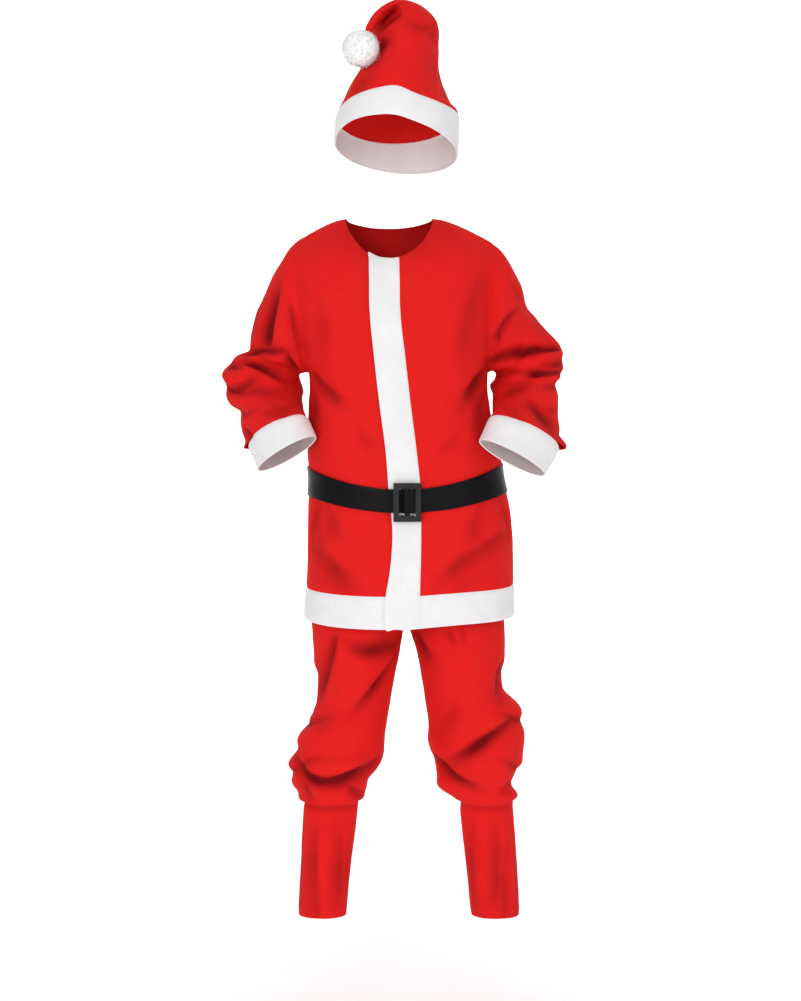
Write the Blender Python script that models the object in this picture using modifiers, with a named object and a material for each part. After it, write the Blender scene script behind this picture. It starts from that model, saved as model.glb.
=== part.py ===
"""A santa suit worn on a general figure: hat, belted jacket and trousers as hollow cloth walls."""

import math

import bmesh
import bpy
import numpy as np

# Sizes in millimetres, heights measured from the ground
MM = 0.001
WALL = 2.0
SEAM = 0.3
ORIGIN = np.array([-10.0, 0.0, 1075.0])
ROUNDNESS = 2.4

# Jacket rows: height at the side, front droop, middle x, half width, front depth, back depth, armhole share
BODY = [
    (534, 12, 12.5, 149.5, 121, 114, 1),
    (576, 8, 13.5, 147, 119, 112, 1),
    (640, 15, 13, 145.5, 115, 112, 1),
    (695, 25, 11, 142, 112.3, 106, 1),
    (730, 30, 8, 137, 112.2, 98, 1),
    (763, 27, 5, 137, 112.4, 99, 1),
    (805, 15, -1, 131, 113, 98, 1),
    (840, 7, -3, 128, 110, 97, 1),
    (878, 0, -3.2, 127.3, 107, 97, 1),
    (884, 0, -3.8, 128.8, 106.6, 97, 0.995),
    (896, 0, -4.8, 131.8, 105.6, 97, 0.98),
    (916, 0, -6.3, 136.9, 103.8, 96.6, 0.955),
    (942, 0, -7, 141.9, 101, 95.8, 0.93),
    (975, 0, -8, 149.2, 95, 93, 0.905),
]
HEM_ROWS = [534, 555, 576]
HEM_RISE = 2
HEM_LIFT = 4
BACK_SAG = -0.1
CHEST_ROWS = [576, 608, 640, 670, 695, 713, 730, 747, 765, 784, 803, 822, 841, 860, 878]
YOKE_ROWS = [884, 896, 916, 942, 975]
YOKE_STEPS = [0.2, 0.4, 0.6, 0.8, 1.0]

# Neck and shoulders
NECK_X = -16
NECK_HALF = 62
NECK_FRONT = (-68, 1040)
NECK_BACK = (64, 1085)
NECK_SIDE = (4, 1097)
SHOULDER_POINTS = {-1: -153, 1: 133}
SHOULDER_END = (2, 1060)

# Front band: height, left edge, right edge
BAND = [
    (510, -20.7, 26.5),
    (565, -21.5, 26.8),
    (580, -18.6, 27),
    (610, -14.3, 28),
    (650, -11.4, 28.6),
    (722, -17.2, 27.2),
    (765, -20.3, 22.9),
    (837, -29.5, 13.9),
    (917, -38.6, 4.7),
    (944, -41.5, 1.4),
    (1040, -45, -2),
    (1060, -45, -2),
]
UNDER_BAND = 2.5
BAND_LAP = 14

# Sleeve rings: inner x, inner height, outer x, outer height, middle y, half depth, front lift
SLEEVE_RIGHT = [
    (-141, 877.5, -168, 1037, 2, 58, 0),
    (-143, 877, -182, 1013, 8, 57, 0),
    (-144.5, 875.5, -195, 983, 14, 55, 0),
    (-145, 873, -206, 956, 20, 52, 0),
    (-144.5, 869, -214, 925, 27, 50, 1),
    (-143, 864, -218, 909, 32, 48, 2),
    (-141, 858.5, -238, 900, 36, 52, 3),
    (-139.5, 853, -253.5, 876, 34, 54, 5),
    (-140, 848, -251, 860, 26, 50, 7),
    (-141, 842, -250, 849, 16, 51, 9),
    (-139.5, 834, -243, 835, 6, 50, 11),
    (-138, 826, -228, 826, -8, 45, 13),
    (-136, 821, -226, 806, -24, 44, 15),
    (-131.5, 814, -214, 778, -56, 38, 18),
]
CUFF_RIGHT = [
    (-125.5, 802, -206, 761, -68, 36, 15),
    (-119, 788, -199, 744, -80, 34.5, 11),
]
SLEEVE_LEFT = [
    (132.5, 881.5, 151, 1040, 2, 58, 0),
    (133, 880.5, 164, 1018, 8, 57, 0),
    (134.5, 879.5, 174, 997, 13, 55, 0),
    (135.5, 877.5, 180, 972, 19, 52, 0),
    (136, 874.5, 192, 957, 25, 50, 1),
    (135.5, 870.5, 208, 938, 31, 49, 2),
    (133.5, 866, 226, 920, 35, 51, 3),
    (129, 861, 233, 904, 35, 54, 5),
    (130, 855, 231, 882, 28, 51, 7),
    (132, 849, 225, 868, 17, 50, 8),
    (132, 840, 225, 849, 5, 50, 10),
    (131.5, 827, 224, 827, -12, 46, 11),
    (130.5, 820, 223, 806, -34, 43, 13),
    (126, 815, 222, 776, -69, 37, 16),
]
CUFF_LEFT = [
    (118, 799, 211, 755, -85, 35, 12),
    (110.5, 784, 200, 738, -101, 33.5, 11),
]

ARM_PIECES = [
    "sleeve_right_front",
    "sleeve_right_back",
    "sleeve_left_front",
    "sleeve_left_back",
    "cuff_right",
    "cuff_left",
]

# Leg rings: inner x, inner height, outer x, outer height, front depth, back depth
LEG_RIGHT = [
    (3, 506, -126, 510, 80, 82),
    (-1, 480, -124, 485, 77, 80),
    (-8, 450, -121, 450, 72, 77),
    (-16, 406, -120.5, 402, 68, 73.5),
    (-20.5, 378, -134, 380, 70, 72),
    (-24, 352, -147, 354, 72, 70),
    (-24.5, 340, -146, 341, 69, 69),
    (-26, 326, -155, 325, 74, 69),
    (-35, 310, -158, 306, 74, 68),
    (-46, 298, -155, 291, 68, 64),
    (-50, 285, -147, 280, 59, 58),
    (-52, 274, -146, 271.5, 52, 52),
    (-55, 268.5, -143, 267, 49, 49),
    (-59.5, 266.2, -139, 265.6, 45, 45),
    (-61, 261, -138, 261, 43, 43),
    (-63, 244, -139.5, 244, 42, 42),
    (-71, 180, -143, 180, 40, 40),
    (-78, 100, -146, 100, 38, 38),
]
LEG_LEFT = [
    (14, 508, 148.5, 506, 80, 82),
    (22, 484, 148.5, 488, 77, 80),
    (30, 448, 147, 446, 72, 77),
    (35, 420, 148.5, 423, 69, 74),
    (38, 398, 166, 406, 71, 73),
    (41, 376, 173, 387, 74, 72),
    (40, 354, 177, 361, 75, 71),
    (43.5, 338, 175, 337, 76, 70),
    (50, 318, 170.5, 312, 74, 68),
    (53, 298, 160.5, 296, 66, 62),
    (55, 286, 160, 284, 58, 58),
    (72, 274, 167, 275, 53, 53),
    (79, 268.7, 165, 269.5, 49.5, 49.5),
    (85, 266, 161, 266.6, 46, 46),
    (86.5, 261, 160.5, 261, 44, 44),
    (87, 244, 161, 244, 42, 42),
    (94, 180, 166, 180, 40, 40),
    (102, 100, 170, 100, 38, 38),
]
SEAT_X = 8.5

# Seat rows: height, right side x, left side x, front depth, back depth, share of the full hip shape
SEAT = [
    (530, -127, 147, 84, 84, 0),
    (536, -126.7, 146.5, 86, 87, 0.45),
    (546, -125.5, 145.3, 89, 92, 0.75),
    (562, -124, 143, 92, 97, 0.92),
    (590, -121, 139, 93, 98, 1),
    (620, -118.5, 135.5, 93, 98, 1),
    (655, -116, 131, 91, 96, 1),
    (700, -109, 122, 86, 89, 1),
    (745, -103, 112.5, 81.5, 84, 1),
]
WAIST = [
    (745, -103, 112.5, 81.5, 84, 1),
    (760, -101.5, 109, 79.5, 82, 1),
    (775, -100, 106, 78, 80, 1),
]
GATHERS = 16

# Hat rings: the ends' x and height at right and left, middle y, half depth, front lift, back lift, slump
HAT = [
    (-90.5, 1239, 81.5, 1242.5, 0, 98, 38, 32, 22),
    (-85.5, 1249, 74.5, 1252, 0, 97.5, 34, 28, 21),
    (-79.5, 1263, 67, 1265, 0, 96, 29, 24, 19),
    (-68, 1288, 57.5, 1294, 0, 88, 20, 17, 12),
    (-53, 1314, 54.5, 1323, 0, 77, 12, 10, 6),
    (-42, 1337, 53.5, 1344, 0, 70, 7, 6, 2),
    (-34, 1356, 53, 1365.5, -1, 61, 3, 3, 0),
    (-27, 1367.5, 44.5, 1384, -2, 52, 0, 0, 0),
    (-15.5, 1377.5, 25, 1399, -3, 46, 0, 0, 0),
    (-7.5, 1387, 3.5, 1404.5, -4, 41, 0, 0, 0),
    (-14, 1390, -14.5, 1401, -8, 33, 0, 0, 0),
    (-24.5, 1380.5, -33, 1388.5, -18, 24, 0, 0, 0),
    (-32.5, 1369.5, -42.8, 1375, -32, 13, 0, 0, 0),
    (-40, 1358, -48, 1363, -42, 6.5, 0, 0, 0),
    (-46, 1349, -50.5, 1351.5, -51.5, 3, 0, 0, 0),
]
HAT_BAND = [
    (-92.5, 1203, 80, 1185.5, 0, 98, 43.5, 29, 9),
    (-92.5, 1221, 81.5, 1214, 0, 98.5, 41, 30, 16),
    (-90.5, 1239, 81.5, 1242.5, 0, 98, 38, 32, 22),
]
POMPOM_CENTRE = (-55.6, -63, 1332.5)
HAT_END = (-48.2, -50.5, 1350.2)
POMPOM_CORE = 17
POMPOM_REACH = 26.5
TUFTS = 240

# Belt and buckle
BELT_ROWS = [713, 730, 747]
BELT_OFFSET = 2.3
BELT_OVER = 4.8
BELT_SPREAD = 0.35
BUCKLE_X = 9.5
BUCKLE_H = 700
BUCKLE_SIZE = (38.8, 3.5, 54)
BUCKLE_CLOTH = -112.4
BUCKLE_WINDOW = (23, 12, 37.7)

# Folds: side seen, three points as x and height, depth, width
JACKET_FOLDS = [
    (-1, -121, 869, -105, 856, -88, 842, 5, 9),
    (-1, 124, 889, 112, 862, 100, 836, 5, 11),
    (-1, -112, 690, -100, 668, -96, 640, 4, 13),
    (-1, 122, 690, 110, 664, 108, 630, 4, 13),
    (-1, 74, 640, 78, 610, 80, 580, 3.5, 14),
    (1, -118, 872, -90, 850, -60, 838, 6, 12),
    (1, 112, 884, 84, 858, 56, 846, 6, 12),
    (1, -70, 790, -64, 765, -66, 742, 5, 12),
    (1, 62, 788, 58, 764, 60, 742, 5, 12),
    (1, -60, 700, -66, 655, -64, 600, 4, 16),
    (1, 66, 700, 72, 655, 74, 600, 4, 16),
]
SLEEVE_FOLDS = [
    (-1, -224.5, 897, -180, 884, -144, 866, 8, 9),
    (-1, -243, 857, -214.5, 869, -179, 874, 6, 8),
    (-1, -178, 995, -187, 963, -190, 917, 6, 9),
    (-1, -169, 1001, -154, 951, -144, 915, 5, 12),
    (1, -224, 893, -180, 880, -146, 862, 7, 9),
    (1, -190, 990, -196, 960, -198, 925, 5, 10),
    (-1, 217, 907, 172, 904, 133, 894, 10, 9),
    (-1, 226, 874, 183, 872, 138, 866, 7, 8),
    (-1, 154, 954, 140, 925, 131, 898, 5, 10),
    (1, 214, 903, 174, 898, 136, 888, 8, 9),
    (1, 168, 990, 174, 955, 172, 925, 5, 10),
]
LEG_FOLDS = [
    (-1, -91.5, 493, -99, 472, -117, 408, 5, 9),
    (-1, -79, 476, -44, 478, -11, 493, 6, 12),
    (-1, -21.5, 462, -48, 424, -71.5, 393, 6, 11),
    (-1, -148, 334, -95, 302, -33.5, 330, 9, 10),
    (1, -140, 400, -90, 384, -30, 396, 7, 12),
    (1, -150, 332, -96, 310, -36, 326, 8, 11),
    (-1, 144, 452, 138, 438, 130, 420, 6, 9),
    (-1, 160, 384, 124, 368, 76, 336, 8, 11),
    (-1, 46, 342, 72, 318, 110, 300, 7, 10),
    (1, 150, 404, 100, 386, 42, 396, 7, 12),
    (1, 164, 338, 110, 312, 54, 326, 8, 11),
]
HAT_FOLDS = [
    (-1, -52, 1308, -37, 1320, -26, 1336, 9, 16),
    (-1, 28, 1352, 40, 1358, 53, 1352, 5, 8),
    (-1, 62, 1290, 56, 1312, 54, 1330, 4, 8),
    (1, -30, 1330, 0, 1340, 40, 1334, 6, 11),
]


def smooth(table, keys):
    """Rows of a table at the given first-column values, on a smooth curve through its rows."""
    table = np.array(table, float)
    steps = table[:, 0]
    values = table[:, 1:]
    slopes = np.gradient(values, steps, axis=0)
    rows = []
    for key in keys:
        i = int(np.clip(np.searchsorted(steps, key, side="right") - 1, 0, len(steps) - 2))
        width = steps[i + 1] - steps[i]
        t = (key - steps[i]) / width
        start = (2 * t**3 - 3 * t**2 + 1) * values[i] + (t**3 - 2 * t**2 + t) * width * slopes[i]
        end = (3 * t**2 - 2 * t**3) * values[i + 1] + (t**3 - t**2) * width * slopes[i + 1]
        rows.append(start + end)
    return np.array(rows)


def power(value, exponent):
    """A signed power, for rounded-square rings."""
    return math.copysign(abs(value) ** exponent, value)


def body_point(height, angle):
    """A point of the jacket's middle surface: angle 0 at the right side seam, a quarter turn in front."""
    droop, middle, half, front, back, _ = smooth(BODY, [height])[0]
    x = middle - half * power(math.cos(angle), 2 / ROUNDNESS)
    depth = front if math.sin(angle) > 0 else back
    y = -depth * power(math.sin(angle), 2 / ROUNDNESS)
    low = np.clip((660 - height) / 120, 0, 1)
    across = (x - middle) / half
    sag = -droop * (low * abs(math.sin(angle)) + (1 - low) * (1 - across**2))
    if math.sin(angle) < 0:
        sag *= BACK_SAG
    sag += HEM_RISE * across * np.clip((840 - height) / 60, 0, 1)
    sag += low * HEM_LIFT * math.sin(math.pi * max(across, 0))
    return np.array([x, y, height + sag])


def angle_at(height, x):
    """The front angle at which the jacket's middle surface has this x."""
    _, middle, half, _, _, _ = smooth(BODY, [height])[0]
    return math.acos(np.clip(power((middle - x) / half, ROUNDNESS / 2), -1, 1))


def armhole_angle(height):
    """How far round from the side seam the armhole is at this height."""
    share = min(smooth(BODY, [height])[0][5], 1)
    return math.acos(share ** (ROUNDNESS / 2)) if height > 878 else 0


def band_edge(height, side):
    """The x of the front band's left or right edge on a row."""
    droop = smooth(BODY, [height])[0][0]
    return smooth(BAND, [height - droop])[0][side]


def neck_point(turn):
    """A point of the neckline: turn 0 at the right shoulder seam, then round the front."""
    y_side, h_side = NECK_SIDE
    y_end, h_end = NECK_FRONT if math.sin(turn) > 0 else NECK_BACK
    lean = abs(math.sin(turn))
    x = NECK_X - NECK_HALF * math.cos(turn)
    return np.array([x, y_side + (y_end - y_side) * lean, h_side + (h_end - h_side) * lean**1.3])


def shoulder_point(side, share):
    """A point of the shoulder seam from the neck, share 0, to the armhole, share 1."""
    neck = neck_point(0 if side < 0 else math.pi)
    x = neck[0] + (SHOULDER_POINTS[side] - neck[0]) * share
    y = neck[1] + (SHOULDER_END[0] - neck[1]) * share
    return np.array([x, y, NECK_SIDE[1] - (NECK_SIDE[1] - SHOULDER_END[1]) * share**1.4])


def arch(start, end):
    """The yoke's curve over the shoulder from the top chest row to the top edge."""
    bend = np.array([(start[0] + end[0]) / 2, 0.85 * start[1], start[2] + 0.78 * (end[2] - start[2])])
    return [(1 - t) ** 2 * start + 2 * t * (1 - t) * bend + t**2 * end for t in YOKE_STEPS]


def panel(rows, columns, tops=None):
    """A grid of points from row heights, a function giving each row's angles, and its top edge."""
    grid = [[body_point(height, angle) for angle in columns(height)] for height in rows]
    if tops is not None:
        curves = [arch(start, end) for start, end in zip(grid[-1], tops)]
        grid += [list(row) for row in zip(*curves)]
    return np.array(grid)


def spread(start, end, count):
    """Evenly spaced values, both ends included."""
    return list(np.linspace(start, end, count + 1))


def right_columns(height):
    """Angles of the right front, whose last four columns run under the band."""
    left = band_edge(height, 0)
    under = [angle_at(height, left - 1)] + band_columns(height)[1:4]
    return spread(armhole_angle(height), angle_at(height, left - BAND_LAP), 6) + under


def band_columns(height):
    """Angles across the front band."""
    left, right = (angle_at(height, band_edge(height, side)) for side in (0, 1))
    return spread(left, right, 4)


def left_columns(height):
    """Angles of the left front, from the band to the armhole."""
    start = angle_at(height, band_edge(height, 1))
    return spread(start, math.pi - armhole_angle(height), 8)


def back_columns(height):
    """Angles of the back, from the left side seam to the right one."""
    edge = armhole_angle(height)
    return spread(math.pi + edge, 2 * math.pi - edge, 18)


def neck_turn(x):
    """The turn round the front neckline at this x."""
    return math.acos(np.clip((NECK_X - x) / NECK_HALF, -1, 1))


def jacket_tops():
    """The top edge of each jacket panel: shoulder seam, then neckline."""
    left, right = BAND[-1][1], BAND[-1][2]
    band_turns = spread(neck_turn(left), neck_turn(right), 4)
    right_neck = [neck_turn(left - BAND_LAP), neck_turn(left - 1)] + band_turns[1:4]
    right_seam = [shoulder_point(-1, share) for share in (1, 0.75, 0.5, 0.25, 0)]
    left_seam = [shoulder_point(1, share) for share in (0.25, 0.5, 0.75, 1)]
    front_right = right_seam + [neck_point(right_neck[0] / 2)] + [neck_point(t) for t in right_neck]
    band = [neck_point(t) for t in band_turns]
    front_left = [neck_point(t) for t in spread(neck_turn(right), math.pi, 4)] + left_seam
    back_neck = [neck_point(t) for t in spread(math.pi, 2 * math.pi, 10)]
    back = left_seam[::-1] + back_neck + right_seam[::-1][1:]
    return front_right, band, front_left, back


def tube(rings, columns):
    """Closed rings through inner, front, outer and back points, as a grid with one row a ring."""
    grid = []
    for inner_x, inner_h, outer_x, outer_h, middle, front, back, lift, sink, slump in rings:
        inner = np.array([inner_x, middle, inner_h])
        outer = np.array([outer_x, middle, outer_h])
        centre, reach = (inner + outer) / 2, (outer - inner) / 2
        row = []
        for turn in np.linspace(0, 2 * math.pi, columns + 1)[:-1]:
            ahead = math.sin(turn)
            side = np.array([0, -front, lift]) if ahead > 0 else np.array([0, -back, sink])
            drop = slump * max(-math.cos(turn), 0) ** 0.7 * max(ahead, 0)
            row.append(centre - math.cos(turn) * reach + ahead * side - np.array([0, 0, drop]))
        grid.append(row)
    return np.array(grid)


def sleeve_rings(table):
    """Sleeve rows as tube rings."""
    return [(ix, ih, ox, oh, y, b, b, lift, lift, 0) for ix, ih, ox, oh, y, b, lift in table]


def leg_rings(table):
    """Leg rows as tube rings."""
    return [(ix, ih, ox, oh, 0, bf, bb, 0, 0, 0) for ix, ih, ox, oh, bf, bb in table]


def hat_rings(table):
    """Hat rows as tube rings."""
    return [(ix, ih, ox, oh, y, b, b, up, down, slump) for ix, ih, ox, oh, y, b, up, down, slump in table]


def hip_row(row, side, back, columns):
    """Half of a seat row: from the centre seam round to the side seam, on the front or the back."""
    height, right_x, left_x, front, rear, share = row
    outer = right_x if side < 0 else left_x
    depth = rear if back else -front
    points = []
    for turn in np.linspace(0, math.pi, columns + 1):
        leg_x = (SEAT_X + outer) / 2 - math.cos(turn) * (outer - SEAT_X) / 2
        leg = np.array([leg_x, math.sin(turn) * depth, height])
        hip = np.array([SEAT_X + math.sin(turn / 2) * (outer - SEAT_X), math.cos(turn / 2) * depth, height])
        points.append((1 - share) * leg + share * hip)
    return points


def trouser_panel(side, back, columns):
    """A trouser panel from the waist down to the hem, its columns from the inner seam to the side."""
    seat = [hip_row(row, side, back, columns) for row in SEAT[::-1]]
    leg = tube(leg_rings(LEG_RIGHT if side < 0 else LEG_LEFT), 2 * columns)
    leg = np.concatenate([leg, leg[:, :1]], axis=1)
    legs = leg[:, columns:][:, ::-1] if back else leg[:, : columns + 1]
    grid = np.concatenate([np.array(seat), legs])
    return grid if (side < 0) != back else grid[:, ::-1]


def waist_ring(row, columns):
    """A closed waistband row, from the right side seam round the front."""
    height, right_x, left_x, front, rear, _ = row
    points = []
    for turn in np.linspace(0, 2 * math.pi, columns + 1)[:-1]:
        outer = right_x if math.cos(turn) > 0 else left_x
        depth = -front if math.sin(turn) > 0 else rear
        x = SEAT_X + abs(math.cos(turn)) * (outer - SEAT_X)
        points.append(np.array([x, abs(math.sin(turn)) * depth, height]))
    return points


def closed(grid):
    """The grid with its first column repeated at the end."""
    return np.concatenate([grid, grid[:, :1]], axis=1)


def shared_normals(grids):
    """Outward normals at every grid point, the same wherever two grids share a point."""
    total = {}
    for grid in grids.values():
        across = grid[1:, 1:] - grid[:-1, :-1]
        along = grid[1:, :-1] - grid[:-1, 1:]
        faces = np.cross(across, along)
        faces /= np.maximum(np.linalg.norm(faces, axis=2, keepdims=True), 1e-9)
        for r, c in np.ndindex(faces.shape[:2]):
            for corner in (grid[r, c], grid[r, c + 1], grid[r + 1, c], grid[r + 1, c + 1]):
                key = tuple(np.round(corner, 2))
                total[key] = total.get(key, 0) + faces[r, c]
    normals = {}
    for name, grid in grids.items():
        sums = np.array([[total[tuple(np.round(p, 2))] for p in row] for row in grid])
        normals[name] = sums / np.maximum(np.linalg.norm(sums, axis=2, keepdims=True), 1e-9)
    return normals


def fold_move(points, normals, folds):
    """How far each point moves inward for the folds seen on its side."""
    move = np.zeros(points.shape[:2])
    along = np.linspace(0, 1, 21)
    for side, ax, ah, bx, bh, cx, ch, depth, width in folds:
        start, end = np.array([ax, ah]), np.array([cx, ch])
        bend = 2 * np.array([bx, bh]) - (start + end) / 2
        curve = [(1 - t) ** 2 * start + 2 * t * (1 - t) * bend + t**2 * end for t in along]
        flat = points[:, :, [0, 2]]
        gaps = np.linalg.norm(flat[:, :, None, :] - np.array(curve)[None, None], axis=3)
        nearest = along[gaps.argmin(axis=2)]
        taper = np.sqrt(np.sin(math.pi * np.clip(nearest, 0.04, 0.96)))
        facing = np.clip(side * normals[:, :, 1] * 1.6, 0, 1)
        move += depth * taper * facing * np.exp(-((gaps.min(axis=2) / width) ** 2))
    return move


def folded(grids, folds):
    """The grids with folds pressed in along their shared normals."""
    normals = shared_normals(grids)
    return {
        name: grid - normals[name] * fold_move(grid, normals[name], folds)[:, :, None]
        for name, grid in grids.items()
    }


def trimmed(grid, ends):
    """The grid with its edges drawn in by so many half seams: first row, last row, sides."""
    grid = grid.copy()
    pairs = [(grid[0], grid[1]), (grid[-1], grid[-2]), (grid[:, 0], grid[:, 1]), (grid[:, -1], grid[:, -2])]
    for (edge, inner), cut in zip(pairs, (ends[0], ends[1], ends[2], ends[2])):
        if cut:
            line = np.gradient(edge, axis=0)
            if np.allclose(edge[0], edge[-1], atol=0.01):
                line[0] = line[-1] = edge[1] - edge[-2]
            line /= np.maximum(np.linalg.norm(line, axis=1, keepdims=True), 1e-6)
            way = inner - edge
            way -= (way * line).sum(axis=1, keepdims=True) * line
            length = np.maximum(np.linalg.norm(way, axis=1, keepdims=True), 1e-6)
            edge += way / length * cut * SEAM / 2
    return grid


def finish_object(obj, material, collection, root):
    """Material, smooth shading, collection and parent of a finished object."""
    obj.data.materials.clear()
    obj.data.materials.append(material)
    for holder in list(obj.users_collection):
        holder.objects.unlink(obj)
    collection.objects.link(obj)
    obj.parent = root


def add_mesh(name, points, faces, material, collection, root):
    """A mesh object from points in millimetres."""
    mesh = bpy.data.meshes.new(name)
    mesh.from_pydata([tuple((p - ORIGIN) * MM) for p in points], [], faces)
    mesh.shade_smooth()
    mesh.set_sharp_from_angle(angle=math.radians(50))
    obj = bpy.data.objects.new(name, mesh)
    collection.objects.link(obj)
    finish_object(obj, material, collection, root)
    return obj


def wall_faces(rows, columns, ring):
    """Faces of an outer and an inner sheet and of the rims that join them."""
    wide = columns if ring else columns - 1
    inner = rows * columns

    def at(r, c):
        return r * columns + c % columns

    faces = []
    for r in range(rows - 1):
        for c in range(wide):
            quad = (at(r, c), at(r, c + 1), at(r + 1, c + 1), at(r + 1, c))
            faces.append(quad)
            faces.append(tuple(i + inner for i in reversed(quad)))
    rims = [(at(0, c + 1), at(0, c)) for c in range(wide)]
    rims += [(at(rows - 1, c), at(rows - 1, c + 1)) for c in range(wide)]
    if not ring:
        rims += [(at(r, 0), at(r + 1, 0)) for r in range(rows - 1)]
        rims += [(at(r + 1, columns - 1), at(r, columns - 1)) for r in range(rows - 1)]
    faces += [(a, b, b + inner, a + inner) for a, b in rims]
    return faces


def add_wall(name, grid, normals, material, collection, root, thickness=WALL):
    """A cloth wall of even thickness on a grid, closed into a ring if its sides meet."""
    ring = np.allclose(grid[:, 0], grid[:, -1], atol=0.01)
    if ring:
        grid, normals = grid[:, :-1], normals[:, :-1]
    rows, columns = grid.shape[:2]
    outer = grid + normals * thickness / 2
    inner = grid - normals * thickness / 2
    points = np.concatenate([outer.reshape(-1, 3), inner.reshape(-1, 3)])
    return add_mesh(name, points, wall_faces(rows, columns, ring), material, collection, root)


def add_material(name, colour, rough, sheen=0.0):
    """A Principled material in a linear colour."""
    material = bpy.data.materials.new(name)
    material.use_nodes = True
    shader = material.node_tree.nodes["Principled BSDF"]
    shader.inputs["Base Color"].default_value = (*colour, 1)
    shader.inputs["Roughness"].default_value = rough
    shader.inputs["Sheen Weight"].default_value = sheen
    material.diffuse_color = (*colour, 1)
    return material


def add_cloth(grids, materials, collection, root, ends, sunk=None):
    """Walls for a group of grids that share seams."""
    normals = shared_normals(grids)
    for name, grid in grids.items():
        if sunk and name in sunk:
            grid = grid - normals[name] * np.array(sunk[name])[None, :, None]
        cut = trimmed(grid, ends.get(name, (1, 1, 1)))
        add_wall(name, cut, normals[name], materials[name], collection, root)


def jacket_grids():
    """The jacket's panels, bands, sleeves and cuffs before their folds."""
    front_right, band, front_left, back = jacket_tops()
    high_rows = CHEST_ROWS + YOKE_ROWS
    grids = {
        "jacket_front_right": panel(high_rows, right_columns, front_right),
        "jacket_front_left": panel(high_rows, left_columns, front_left),
        "jacket_back": panel(high_rows, back_columns, back),
        "front_band": panel(HEM_ROWS[:-1] + high_rows, band_columns, band),
        "hem_band_front_right": panel(HEM_ROWS, right_columns),
        "hem_band_front_left": panel(HEM_ROWS, left_columns),
        "hem_band_back": panel(HEM_ROWS, back_columns),
    }
    low = len(CHEST_ROWS) - 1
    sides = {
        "right": (grids["jacket_front_right"][low:, 0], grids["jacket_back"][low:, -1]),
        "left": (grids["jacket_front_left"][low:, -1], grids["jacket_back"][low:, 0]),
    }
    tables = {"right": (SLEEVE_RIGHT, CUFF_RIGHT), "left": (SLEEVE_LEFT, CUFF_LEFT)}
    for side, (front, rear) in sides.items():
        armhole = np.concatenate([front, rear[-2:0:-1]])
        sleeve, cuff = tables[side]
        arm = np.concatenate([[armhole], tube(sleeve_rings(sleeve), len(armhole))])
        wrist = np.concatenate([arm[-1:], tube(sleeve_rings(cuff), len(armhole))])
        arm, wrist = closed(arm), closed(wrist)
        outer = len(armhole) // 2
        if side == "left":
            arm, wrist = arm[:, ::-1], wrist[:, ::-1]
        halves = [arm[:, : outer + 1], arm[:, outer:]]
        grids[f"sleeve_{side}_front"], grids[f"sleeve_{side}_back"] = halves[:: -1 if side == "left" else 1]
        grids["cuff_" + side] = wrist
    return grids


def add_jacket(red, white, collection, root):
    """The jacket, with its right front sunk under the front band."""
    grids = folded(jacket_grids(), JACKET_FOLDS + SLEEVE_FOLDS)
    materials = {name: red if name.startswith(("jacket", "sleeve")) else white for name in grids}
    sink = [0] * 7 + [UNDER_BAND] * 4
    sunk = {"jacket_front_right": sink, "hem_band_front_right": sink}
    ends = {name: (5, 1, 3) if name.startswith("sleeve") else (4, 1, 0) for name in ARM_PIECES}
    add_cloth(grids, materials, collection, root, ends, sunk)


def trouser_grids():
    """The four trouser panels and the waistband, lightly gathered at the waist."""
    columns = 8
    grids = {}
    for side, word in ((-1, "right"), (1, "left")):
        for back, face in ((False, "front"), (True, "back")):
            grids[f"trouser_{word}_{face}"] = trouser_panel(side, back, columns)
    grids["waistband"] = closed(np.array([waist_ring(row, 4 * columns) for row in WAIST]))
    for grid in grids.values():
        turn = np.arctan2(-grid[:, :, 1], grid[:, :, 0] - SEAT_X)
        rise = np.clip((grid[:, :, 2] - 690) / 55, 0, 1)
        share = 1 + 0.014 * rise * np.cos(GATHERS / 2 * turn)
        grid[:, :, 0] = SEAT_X + (grid[:, :, 0] - SEAT_X) * share
        grid[:, :, 1] *= share
    return grids


def add_trousers(red, collection, root):
    """The trousers: four panels that meet at the crotch, and the waistband."""
    grids = folded(trouser_grids(), LEG_FOLDS)
    ends = {"waistband": (1, 1, 0)}
    add_cloth(grids, {name: red for name in grids}, collection, root, ends)


def add_hat(red, white, collection, root):
    """The hat: two panels whose tip folds over, and its brim band."""
    crown = closed(tube(hat_rings(HAT), 24))
    brim = closed(tube(hat_rings(HAT_BAND), 24))
    grids = {"hat_front": crown[:, :13], "hat_back": crown[:, 12:], "hat_band": brim}
    grids = folded(grids, HAT_FOLDS)
    materials = {"hat_front": red, "hat_back": red, "hat_band": white}
    ends = {"hat_band": (1, 1, 0), "hat_front": (1, 1, 3), "hat_back": (1, 1, 3)}
    add_cloth(grids, materials, collection, root, ends)


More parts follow.
